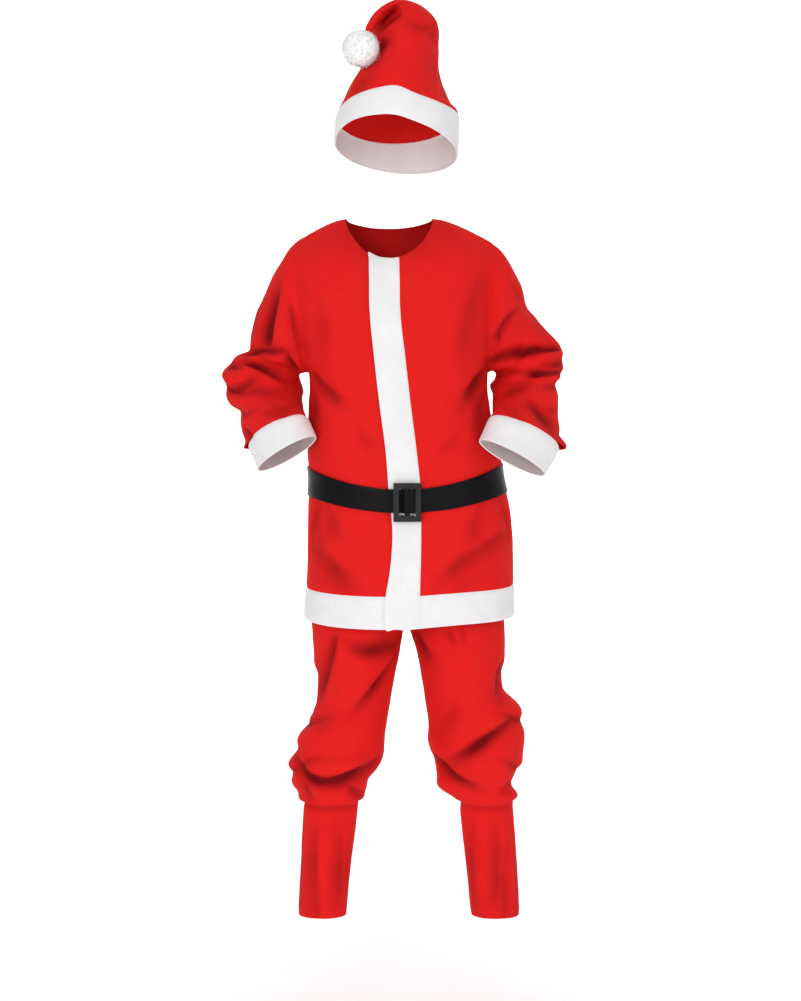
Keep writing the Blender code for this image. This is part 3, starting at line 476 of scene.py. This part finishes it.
def finish_piece(obj, material, slot, *nodes):
    """Material and body of a finished piece, and the nodes that it stands for; the slot is not used."""
    obj.data.materials.clear()
    obj.data.materials.append(material)
    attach(obj, "root")
    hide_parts(*nodes)


def to_mm(points):
    """Tabled millimetres from points in metres."""
    return np.asarray(points) / MM + ORIGIN


def to_metres(points):
    """Metres from tabled millimetres."""
    return (np.asarray(points) - ORIGIN) * MM


def outer_sheet(node):
    """Points in tabled millimetres and faces of the outer side of a node's cloth wall."""
    shape = bmesh.new()
    shape.from_mesh(NODES[node].data)
    bmesh.ops.remove_doubles(shape, verts=shape.verts, dist=0.01 * MM)
    wall = CAD_WALL * MM
    rims = {f for e in shape.edges if abs(e.calc_length() - wall) < 0.004 * MM for f in e.link_faces}
    bmesh.ops.delete(shape, geom=list(rims), context="FACES")
    left, sheets = set(shape.faces), []
    while left:
        start = left.pop()
        found, edge = [start], [start]
        while edge:
            for near in {f for e in edge.pop().edges for f in e.link_faces} & left:
                left.discard(near)
                found.append(near)
                edge.append(near)
        sheets.append(found)
    sheets.sort(key=lambda faces: sum(f.calc_area() for f in faces))
    spare = [f for faces in sheets[:-1] for f in faces]
    bmesh.ops.delete(shape, geom=spare, context="FACES")
    whole = {"angle_face_threshold": math.pi, "angle_shape_threshold": math.pi}
    bmesh.ops.join_triangles(shape, faces=shape.faces, topology_influence=1.5, **whole)
    shape.verts.index_update()
    points = to_mm([v.co for v in shape.verts])
    faces = [[v.index for v in f.verts] for f in shape.faces]
    shape.free()
    return points, faces


def edges_of(faces):
    """Every edge of the faces with the number of faces on it."""
    ends = [sorted(pair) for f in faces for pair in zip(f, list(f[1:]) + [f[0]])]
    return np.unique(np.array(ends), axis=0, return_counts=True)


def sewn(names, reach=1.4):
    """The outer sheets of several nodes as one mesh, joined where their edges meet."""
    points, faces, sheet_of, borders = [], [], [], []
    for number, name in enumerate(names):
        own, own_faces = outer_sheet(name)
        ends, count = edges_of(own_faces)
        start = sum(len(p) for p in points)
        borders.append(start + np.unique(ends[count == 1]))
        points.append(own)
        faces += [[i + start for i in f] for f in own_faces]
        sheet_of += [number] * len(own_faces)
    points = np.concatenate(points)
    group = list(range(len(points)))

    def first(i):
        while group[i] != i:
            i = group[i]
        return i

    trees = []
    for border in borders:
        tree = KDTree(len(border))
        for i in border:
            tree.insert(points[i], int(i))
        tree.balance()
        trees.append(tree)
    for a in range(len(names)):
        for b in range(a + 1, len(names)):
            for i in borders[a]:
                _, j, gap = trees[b].find(points[i])
                if gap < reach and trees[a].find(points[j])[1] == i:
                    group[first(int(i))] = first(j)
    roots = np.array([first(i) for i in range(len(points))])
    kept, index = np.unique(roots, return_inverse=True)
    sums = np.zeros((len(kept), 3))
    np.add.at(sums, index, points)
    sums /= np.bincount(index)[:, None]
    return sums, [[int(index[i]) for i in f] for f in faces], sheet_of


def subdivided(name, points, faces, sheet_of, levels):
    """A smooth fine mesh through all the points, with the sheet number of each face."""
    obj = new_object(name, to_metres(points), faces)
    obj.data.attributes.new("sheet", "INT", "FACE").data.foreach_set("value", sheet_of)
    smoother = obj.modifiers.new("smooth", "SUBSURF")
    smoother.levels = smoother.render_levels = 2
    target = to_metres(points)
    control = target.copy()
    for _ in range(4):
        obj.data.vertices.foreach_set("co", control.astype(np.float32).ravel())
        obj.data.update()
        bpy.context.view_layer.update()
        fine = obj.evaluated_get(bpy.context.evaluated_depsgraph_get()).data
        got = np.empty(len(fine.vertices) * 3, np.float32)
        fine.vertices.foreach_get("co", got)
        control += 0.9 * (target - got.reshape(-1, 3)[: len(target)])
    obj.data.vertices.foreach_set("co", control.astype(np.float32).ravel())
    smoother.levels = smoother.render_levels = levels
    activate(obj)
    bpy.ops.object.modifier_apply(modifier=smoother.name)
    mesh = obj.data
    fine = np.empty(len(mesh.vertices) * 3, np.float32)
    mesh.vertices.foreach_get("co", fine)
    normals = np.empty(len(mesh.vertices) * 3, np.float32)
    mesh.vertex_normals.foreach_get("vector", normals)
    corners = np.empty(len(mesh.loops), np.int32)
    mesh.loops.foreach_get("vertex_index", corners)
    numbers = np.empty(len(mesh.polygons), np.int32)
    mesh.attributes["sheet"].data.foreach_get("value", numbers)
    bpy.data.objects.remove(obj)
    return to_mm(fine.reshape(-1, 3)), normals.reshape(-1, 3), corners.reshape(-1, 4), numbers


def gaps_to(points, others):
    """The distance from each point to the nearest of the others."""
    if not len(others):
        return np.full(len(points), 1e3)
    tree = KDTree(len(others))
    for i, other in enumerate(others):
        tree.insert(other, i)
    tree.balance()
    return np.array([tree.find(p)[2] for p in points])


def waves(points, size, seed):
    """Smooth uneven waves about this size in millimetres, from -1 to 1."""
    shift = Vector((seed * 7.3, seed * 3.1, seed * 5.7))
    return np.array([noise.noise(Vector(p) / size + shift) for p in points])


def crease_moves(points, normals, creases):
    """How far each point moves out for the creases, and how much painted shade it gets in a crease's trough,
    from 0 to 1.
    """
    move, painted_shade = np.zeros(len(points)), np.zeros(len(points))
    along = np.linspace(0, 1, CREASE_STEPS)
    unevenness = 1 + 0.5 * waves(points, 38, 3)
    for side, ax, ah, bx, bh, cx, ch, depth, width, ridge in creases:
        start, end = np.array([ax, ah]), np.array([cx, ch])
        bend = 2 * np.array([bx, bh]) - (start + end) / 2
        # Rows seen from the front or back lie in x and height, rows seen from a side in y and height
        seen, facing_axis, slack = (0, 1, 0.3) if abs(side) == 1 else (1, 0, -0.3)
        up = math.copysign(1, end[0] - start[0]) * math.copysign(1, ridge)
        curve = np.array([(1 - t) ** 2 * start + 2 * t * (1 - t) * bend + t**2 * end for t in along])
        low, high = curve.min(0) - 5 * width, curve.max(0) + 5 * width
        flat = points[:, [seen, 2]]
        facing = np.clip(np.sign(side) * normals[:, facing_axis] * 1.8 + slack, 0, 1)
        if abs(side) > 1:
            facing[np.sign(side) * points[:, 0] < SIDE_STARTS[abs(side)]] = 0
        near = np.flatnonzero(((flat > low) & (flat < high)).all(axis=1) & (facing > 0))
        if not len(near):
            continue
        gaps = flat[near][:, None, :] - curve[None]
        lengths = np.linalg.norm(gaps, axis=2)
        nearest = lengths.argmin(axis=1)
        tangent = np.gradient(curve, axis=0)[nearest]
        across = np.stack([-tangent[:, 1], tangent[:, 0]], axis=1) * up
        way = np.where((gaps[np.arange(len(near)), nearest] * across).sum(axis=1) < 0, -1, 1)
        wide = width * (0.75 + 0.5 * along[nearest])
        # Steep towards the ridge, gentle on the other side
        gap = way * lengths.min(axis=1) / wide
        trough = np.exp(-((gap / np.where(gap > 0, 0.85, 1.6)) ** 2))
        raised = np.exp(-(((gap - 1.7) / 1.2) ** 2))
        taper = np.sin(math.pi * np.clip(along[nearest], 0.03, 0.97)) ** 0.6 * facing[near] * unevenness[near]
        move[near] += (abs(ridge) * raised - depth * trough) * taper
        # Painted shade: the trough's colour is darkened on top of its real shadow, most sharply on the
        # ridge's side
        painted_dark = min(depth / 7, 1.3) * taper * np.exp(-((gap / np.where(gap > 0, 0.75, 1.4)) ** 2))
        painted_shade[near] = np.maximum(painted_shade[near], painted_dark)
    return move, np.clip(painted_shade, 0, 1)


def split_sheet(name, points, corners, crease, thickness):
    """One sheet of a fine mesh as a piece of cloth with its own thickness, just clear of its seams."""
    used, index = np.unique(corners, return_inverse=True)
    faces = index.reshape(-1, 4)
    own = points[used].copy()
    ends, count = edges_of([list(f) for f in faces])
    border = np.zeros(len(own), bool)
    border[np.unique(ends[count == 1])] = True
    inward, number = np.zeros_like(own), np.zeros(len(own))
    for a, b in (ends.T, ends.T[::-1]):
        pairs = border[a] & ~border[b]
        np.add.at(inward, a[pairs], own[b[pairs]] - own[a[pairs]])
        np.add.at(number, a[pairs], 1)
    length = np.maximum(np.linalg.norm(inward, axis=1, keepdims=True), 1e-6)
    own += np.where(number[:, None] > 0, inward / length * 0.04, 0)
    obj = new_object(name, to_metres(own), faces)
    # The crease attribute is painted shade: the materials darken their colour by it
    obj.data.attributes.new("crease", "FLOAT", "POINT").data.foreach_set("value", crease[used])
    wall = obj.modifiers.new("thickness", "SOLIDIFY")
    wall.thickness = thickness
    wall.offset = -1
    activate(obj)
    bpy.ops.object.modifier_apply(modifier=wall.name)
    bpy.ops.object.shade_smooth_by_angle(angle=math.radians(60))
    return obj


def add_cloth(rows, creases, whites, cloth, materials, pressed=(), seed=1):
    """The sheets of one garment: sewn, smoothed, creased, and split again into its cut pieces."""
    names = [row[0] for row in rows]
    points, faces, sheet_of = sewn(names)
    points, normals, corners, numbers = subdivided("garment", points, faces, sheet_of, cloth.levels)
    sheets_at = np.zeros((len(points), len(names)), bool)
    for c in range(4):
        sheets_at[corners[:, c], numbers] = True
    seam = sheets_at.sum(axis=1) > 1
    ends, count = edges_of([list(f) for f in corners])
    border = np.unique(ends[count == 1])
    seam_gap = gaps_to(points, points[seam])
    border_gap = gaps_to(points, points[border])
    # Besides the creases' moves this gives their painted shade, which darkens the fleece's colour in the
    # troughs
    move, crease = crease_moves(points, normals, creases)
    move *= cloth.crease
    # Slack in the cloth: broad waves, small ones, and puckers close to each seam
    move += 1.0 * waves(points, 85, seed) + 0.35 * waves(points, 30, seed + 1)
    move += cloth.pucker / MM * waves(points, 11, seed + 2) * np.exp(-seam_gap / 9)
    white = sheets_at[:, [names.index(n) for n in whites]].any(axis=1) if whites else seam & False
    # The doubled bands are stiffer and stand a little proud, and stitches pull every edge in
    move[white] = move[white] * 0.45 + 0.9 * (1 - np.exp(-((seam_gap[white] / 3) ** 2)))
    move -= 0.9 * np.exp(-((seam_gap / 1.3) ** 2))
    move -= 0.8 * np.exp(-((border_gap / 1.6) ** 2))
    for node, sheets, width, press in pressed:
        under = sheets_at[:, [names.index(n) for n in sheets]].any(axis=1)
        gap = gaps_to(points[under], to_mm([v.co for v in NODES[node].data.vertices]))
        share = np.exp(-((gap / width) ** 2))
        move[under] = move[under] * (1 - share) - press * share
    points = points + normals * move[:, None]
    for number, (name, width, length, area, held, rests) in enumerate(rows):
        own = points.copy()
        for node, place, reach, push in PUSHES:
            if name.startswith(node):
                gap = (own - place) * (1, 0.5, 1)
                near = np.exp(-((gap / reach) ** 2).sum(axis=1))
                toward = np.clip(0.2 + 1.2 * normals @ (np.array(push) / np.linalg.norm(push)), 0, 1)
                own += (near * toward)[:, None] * np.array(push)
        is_white = name in whites
        thickness = cloth.band_thickness if is_white else cloth.thickness
        obj = split_sheet(name + "_cloth", own, corners[numbers == number], crease, thickness)
        slot = "white_fleece" if is_white else "red_fleece"
        finish_piece(obj, materials[is_white], slot, name)


def settings(context):
    """The suit's cloth and trim sizes and colours."""
    return context.scene.santa_cloth, context.scene.santa_trim


def fleeces(cloth):
    """The red and the white fleece, made once: index 0 red, index 1 white."""
    red = bpy.data.materials.get("brushed_fleece_red")
    if red is None:
        # Each fleece's darker colour serves both its nap and the painted shade in its creases
        brushed_fleece("brushed_fleece_red", cloth.red, "72050A", 0.12)
        brushed_fleece("brushed_fleece_white", cloth.white, "C9C6C8", 0.2)
    return [bpy.data.materials["brushed_fleece_red"], bpy.data.materials["brushed_fleece_white"]]


class SANTA_OT_jacket(bpy.types.Operator):
    """Adds the jacket's panels, sleeves, cuffs, front band and hem bands"""

    bl_idname = "santa.jacket"
    bl_label = "Jacket"

    def execute(self, context):
        cloth, _ = settings(context)
        rows = [row[0] for row in JACKET]
        red = [name for name in rows if name.startswith(("jacket", "sleeve"))]
        white = [name for name in rows if name not in red]
        fronts = ["jacket_front_right", "hem_band_front_right"]
        body = [name for name in rows if name.startswith("jacket")]
        pressed = [("front_band", fronts, 7, 0.5), ("belt", [*body, "front_band"], 12, 0.6)]
        creases = JACKET_CREASES + SLEEVE_CREASES
        add_cloth(JACKET, creases, white, cloth, fleeces(cloth), pressed)
        return {"FINISHED"}


class SANTA_OT_trousers(bpy.types.Operator):
    """Adds the trousers' four panels and their waistband"""

    bl_idname = "santa.trousers"
    bl_label = "Trousers"

    def execute(self, context):
        cloth, _ = settings(context)
        add_cloth(TROUSERS, LEG_CREASES, [], cloth, fleeces(cloth), seed=11)
        return {"FINISHED"}


class SANTA_OT_hat(bpy.types.Operator):
    """Adds the hat's two panels and its band"""

    bl_idname = "santa.hat"
    bl_label = "Hat"

    def execute(self, context):
        cloth, _ = settings(context)
        add_cloth(HAT, HAT_CREASES, ["hat_band"], cloth, fleeces(cloth), seed=21)
        return {"FINISHED"}


class SANTA_OT_pompom(bpy.types.Operator):
    """Adds the pompom: a ball of packed pile with tapering strands that stand out of it"""

    bl_idname = "santa.pompom"
    bl_label = "Pompom"

    def execute(self, context):
        _, trim = settings(context)
        centre = Vector(to_metres(POMPOM_CENTRE))
        tip = (Vector(to_metres(HAT_END)) - centre).normalized()
        deselect_all()
        bpy.ops.mesh.primitive_ico_sphere_add(subdivisions=5, radius=trim.pompom_radius, location=centre)
        core = context.active_object
        bpy.ops.object.transform_apply(location=True, rotation=True, scale=True)
        ways = np.array([v.co - centre for v in core.data.vertices]) / MM
        tufted = 0.94 + 0.025 * waves(ways, 6, 41) + 0.01 * waves(ways, 2.2, 42)
        points = [centre + Vector(p) * MM for p in ways * tufted[:, None]]
        faces = [list(p.vertices) for p in core.data.polygons]
        # Painted shade in the ball's hollows and at the strands' roots, none at their tips
        painted_shade = list(np.clip((0.94 - tufted) / 0.08, 0, 1))
        bpy.data.objects.remove(core)
        random = np.random.default_rng(5)
        golden = math.pi * (3 - math.sqrt(5))
        for i in range(trim.strands):
            z = 1 - 2 * (i + 0.5) / trim.strands
            ring = math.sqrt(1 - z * z)
            way = Vector((ring * math.cos(golden * i), ring * math.sin(golden * i), z))
            lean = Vector(random.normal(0, 0.3, 3))
            drop = Vector((0, 0, -0.12))
            length = trim.pompom_radius * random.uniform(0.94, 1.03)
            # Strands are short where the ball is sewn to the hat's tip
            if way.dot(tip) > 0.8:
                length *= 0.75
            side = way.orthogonal().normalized()
            other = way.cross(side)
            start = len(points)
            for share, radius, bent in ((0.84, 0.42, 0), (0.94, 0.3, 0.5)):
                middle = centre + way * length * share + (lean + drop) * length * 0.35 * bent
                for turn in (0, 2.094, 4.189):
                    points.append(middle + (side * math.cos(turn) + other * math.sin(turn)) * radius * MM)
                    painted_shade.append(1 - share)
            end = (way + (lean + drop) * 0.35).normalized() * length
            points.append(centre + end)
            painted_shade.append(0.0)
            for k in range(3):
                a, b = start + k, start + (k + 1) % 3
                faces += [[a, b, b + 3, a + 3], [a + 3, b + 3, start + 6]]
            faces.append([start + 2, start + 1, start])
        obj = new_object("hat_pompom_pile", points, faces)
        obj.data.attributes.new("crease", "FLOAT", "POINT").data.foreach_set("value", painted_shade)
        obj.data.shade_smooth()
        # The strands shade as the round ball that they make together, and the ball by its own tufts
        around = [(0, 0, 0)] * len(ways)
        around += [(Vector(p) - centre).normalized() for p in points[len(ways) :]]
        obj.data.normals_split_custom_set_from_vertices(around)
        finish_piece(obj, pile("acrylic_pile_white", trim.pile), "white_pile", "hat_pompom")
        return {"FINISHED"}


class SANTA_OT_belt(bpy.types.Operator):
    """Adds the vinyl belt, a strap with rounded edges that crosses the buckle's bar"""

    bl_idname = "santa.belt"
    bl_label = "Belt"

    def execute(self, context):
        _, trim = settings(context)
        points, faces, sheet_of = sewn(["belt"])
        points, normals, corners, _ = subdivided("strap", points, faces, sheet_of, 2)
        points = points + normals * 0.2 * waves(points, 24, 31)[:, None]
        aside = np.abs(points[:, 0] - BUCKLE_PLACE[0])
        across = np.clip(aside / BAR_REACH, 0, 1)
        over = (points[:, 1] < BELT_FRONT) & (aside < BAR_REACH)
        points[:, 1] -= np.where(over, BAR_RISE * np.cos(across * math.pi / 2), 0)
        obj = new_object("belt_strap", to_metres(points), corners)
        wall = obj.modifiers.new("thickness", "SOLIDIFY")
        wall.thickness = 1.8 * MM
        wall.offset = -1
        edge = obj.modifiers.new("edge", "BEVEL")
        edge.width = 0.5 * MM
        edge.segments = 2
        edge.limit_method = "ANGLE"
        activate(obj)
        for modifier in (wall, edge):
            bpy.ops.object.modifier_apply(modifier=modifier.name)
        bpy.ops.object.shade_smooth_by_angle(angle=math.radians(40))
        finish_piece(obj, grained_vinyl("grained_vinyl_black", trim.vinyl), "black_vinyl", "belt")
        return {"FINISHED"}


class SANTA_OT_buckle(bpy.types.Operator):
    """Adds the moulded buckle: a frame with a raised ridge round its window, and a bar behind the strap"""

    bl_idname = "santa.buckle"
    bl_label = "Buckle"

    def execute(self, context):
        _, trim = settings(context)
        x, y, height = BUCKLE_PLACE
        frame_obj = add_block("buckle_frame", BUCKLE_SIZE, BUCKLE_PLACE)
        bpy.ops.object.mode_set(mode="EDIT")
        select_faces(frame_obj, lambda face: abs(face.normal.y) > 0.9)
        bpy.ops.mesh.inset(thickness=BUCKLE_RAIL * MM)
        bpy.ops.mesh.bridge_edge_loops()
        select_faces(frame_obj, lambda face: face.normal.y < -0.9)
        bpy.ops.mesh.inset(thickness=1.4 * MM)
        bpy.ops.transform.translate(value=(0, -0.5 * MM, 0))
        bpy.ops.mesh.inset(thickness=1.1 * MM)
        bpy.ops.transform.translate(value=(0, 0.7 * MM, 0))
        bpy.ops.object.mode_set(mode="OBJECT")
        parts = [frame_obj, add_block("buckle_bar", BUCKLE_BAR, (x, BAR_DEPTH, height))]
        for side in (-1, 1):
            parts.append(add_block("bar_foot", (7.2, 5.4, 3.6), (x, BAR_DEPTH - 1.9, height + side * 21)))
            for shift in (-7, 7):
                foot = (x + shift, y + 0.2, height + side * 18.4)
                parts.append(add_block("ledge", (4.6, 2.2, 1.6), foot))
        for obj in parts:
            activate(obj)
            edge = obj.modifiers.new("edge", "BEVEL")
            edge.width = 0.45 * MM
            edge.segments = 3
            edge.limit_method = "ANGLE"
            edge.angle_limit = math.radians(35)
            bpy.ops.object.modifier_apply(modifier=edge.name)
        activate(frame_obj)
        for obj in parts[1:]:
            obj.select_set(True)
        bpy.ops.object.join()
        bpy.ops.object.shade_smooth_by_angle(angle=math.radians(35))
        material = moulded_plastic("moulded_abs_charcoal", trim.plastic)
        finish_piece(frame_obj, material, "black_plastic", "belt_buckle")
        return {"FINISHED"}


class SANTA_OT_stage(bpy.types.Operator):
    """Adds the pale floor, the studio lights and the camera"""

    bl_idname = "santa.stage"
    bl_label = "Stage"

    def execute(self, context):
        scene = context.scene
        deselect_all()
        floor_height = -ORIGIN[2] * MM
        bpy.ops.mesh.primitive_plane_add(size=16, location=(0, 0, floor_height))
        floor = context.active_object
        floor.name = "floor"
        bpy.ops.object.transform_apply(location=True, rotation=True, scale=True)
        bpy.ops.object.mode_set(mode="EDIT")
        bpy.ops.mesh.select_mode(type="EDGE")
        bpy.ops.mesh.select_all(action="DESELECT")
        shape = bmesh.from_edit_mesh(floor.data)
        for edge in shape.edges:
            edge.select = all(v.co.y > 7 for v in edge.verts)
        bmesh.update_edit_mesh(floor.data)
        bpy.ops.mesh.extrude_region_move(TRANSFORM_OT_translate={"value": (0, 0, 7)})
        bpy.ops.object.mode_set(mode="OBJECT")
        bend = floor.modifiers.new("bend", "BEVEL")
        bend.width = 2.5
        bend.segments = 16
        activate(floor)
        bpy.ops.object.modifier_apply(modifier=bend.name)
        floor.data.shade_smooth()
        paper, tree, shader, place = new_material("seamless_paper_white", 0.9, 0.2)
        # The photo's floor is pure white, with none of the suit's red, so the paper glows a little
        shader.inputs["Emission Color"].default_value = linear("FFFFFF")
        shader.inputs["Emission Strength"].default_value = 0.12
        fibre = add_node(tree, "TexNoise", Vector=place, Scale=3.0, Detail=2.0)
        tone = add_node(tree, "Mix", {"data_type": "RGBA"}, Factor=fibre.outputs["Fac"])
        tone.inputs[6].default_value = linear("FBFBFB")
        tone.inputs[7].default_value = linear("F7F7F7")
        tree.links.new(tone.outputs[2], shader.inputs["Base Color"])
        floor.data.materials.append(paper)
        world = bpy.data.worlds.new("studio")
        world.use_nodes = True
        world.node_tree.nodes["Background"].inputs["Color"].default_value = (1, 1, 1, 1)
        world.node_tree.nodes["Background"].inputs["Strength"].default_value = 0.52
        scene.world = world
        scene.view_settings.view_transform = "Standard"
        lights = [
            ("key", (-1.5, -4.3, 0.8), (1.6, 1.6), (0, 0, -0.3), 54),
            ("fill", (2.2, -3.0, 0.6), (2.0, 2.4), (0, 0, -0.2), 16),
            ("top", (0.2, -0.4, 3.0), (2.4, 2.4), (0, 0, -0.2), 15),
            ("wall", (0, 4.4, 1.2), (7, 5), (0, 8, 1.0), 190),
            ("floor", (0, 3.7, 1.8), (6, 4.4), (0, 3.8, -1), 120),
            ("near", (0, -1.9, -0.2), (3, 1.6), (0, -1.2, -1.1), 5),
        ]
        for name, place, size, target, watts in lights:
            light = bpy.data.lights.new(name, "AREA")
            light.shape = "RECTANGLE"
            light.size, light.size_y = size
            light.energy = watts
            lamp = bpy.data.objects.new(name, light)
            lamp.location = place
            lamp.rotation_euler = (Vector(target) - Vector(place)).to_track_quat("-Z", "Y").to_euler()
            scene.collection.objects.link(lamp)
        view = bpy.data.cameras.new("camera")
        view.lens = 36 * CAMERA_DISTANCE / FRAME_HEIGHT * FRAME_TRIM
        camera = bpy.data.objects.new("camera", view)
        camera.location = (0.01, -CAMERA_DISTANCE, CAMERA_HEIGHT + floor_height)
        camera.rotation_euler = (math.radians(90 - CAMERA_TILT), 0, 0)
        scene.collection.objects.link(camera)
        scene.camera = camera
        return {"FINISHED"}


class SANTA_PT_suit(bpy.types.Panel):
    """Sizes, colours and pieces of the santa suit"""

    bl_idname = "SANTA_PT_suit"
    bl_label = "Santa suit"
    bl_space_type = "VIEW_3D"
    bl_region_type = "UI"
    bl_category = "Santa suit"

    def draw(self, context):
        for group in settings(context):
            for name in group.bl_rna.properties.keys():
                if name not in ("rna_type", "name"):
                    self.layout.prop(group, name)
        for operator in OPERATORS:
            self.layout.operator(operator.bl_idname)


OPERATORS = [
    SANTA_OT_jacket,
    SANTA_OT_trousers,
    SANTA_OT_hat,
    SANTA_OT_pompom,
    SANTA_OT_belt,
    SANTA_OT_buckle,
    SANTA_OT_stage,
]
CLASSES = [SantaCloth, SantaTrim, *OPERATORS, SANTA_PT_suit]


def register():
    for cls in CLASSES:
        bpy.utils.register_class(cls)
    bpy.types.Scene.santa_cloth = PointerProperty(type=SantaCloth)
    bpy.types.Scene.santa_trim = PointerProperty(type=SantaTrim)


def unregister():
    del bpy.types.Scene.santa_trim
    del bpy.types.Scene.santa_cloth
    for cls in reversed(CLASSES):
        bpy.utils.unregister_class(cls)


def main():
    register()
    bpy.ops.santa.jacket()
    bpy.ops.santa.trousers()
    bpy.ops.santa.hat()
    bpy.ops.santa.pompom()
    bpy.ops.santa.belt()
    bpy.ops.santa.buckle()
    bpy.ops.santa.stage()


if __name__ == "__main__":
    main()
